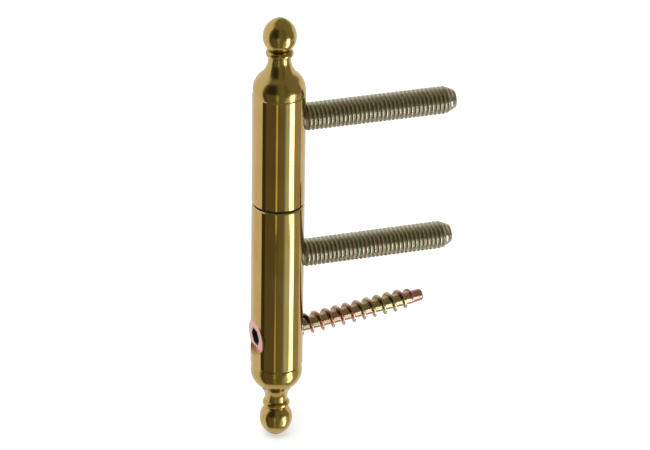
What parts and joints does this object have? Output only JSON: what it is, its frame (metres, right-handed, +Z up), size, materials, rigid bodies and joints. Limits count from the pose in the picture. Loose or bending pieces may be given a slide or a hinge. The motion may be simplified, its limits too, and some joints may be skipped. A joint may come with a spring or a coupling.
{
  "type": "screw-in hinge",
  "caption": "Screw-in door hinge: turned lift-off barrels with ball finials on a hidden pin, threaded studs for door and frame, and a connector screw through the frame half.",
  "frame": {"origin": "where the frame stud's axis meets the plane of the frame's face, which touches the barrels", "axes": "+X along the studs into the frame and the door, +Z up along the hinge axis from the frame half to the door half"},
  "size_m": [0.0594, 0.015, 0.1318],
  "materials": {
    "barrel_brass": "brass plated steel, polished to a mirror",
    "finial_brass": "turned and polished to a mirror",
    "pin_steel": "ground and greased",
    "bush_plastic": "moulded, satin",
    "stud_zinc": "rolled thread, yellow zinc with a faint green and pink sheen",
    "screw_zinc": "yellow zinc with a strong rose and green sheen"
  },
  "bodies": {
    "frame_half": {"lower_barrel": "barrel_brass", "hinge_pin": "pin_steel", "lower_finial": "finial_brass", "frame_stud": "stud_zinc", "frame_screw": "screw_zinc"},
    "bush": {"bearing_bush": "bush_plastic"},
    "door_half": {"upper_barrel": "barrel_brass", "upper_finial": "finial_brass", "door_stud": "stud_zinc"}
  },
  "joints": [
    {"name": "lift_off", "type": "slide", "parent": "frame_half", "child": "bush", "axis": [0, 0, 1], "range_m": [0, 0.02]},
    {"name": "door_swing", "type": "hinge", "parent": "bush", "child": "door_half", "pos_m": [-0.0075, 0, 0.0174], "axis": [0, 0, 1], "continuous": true}
  ]
}
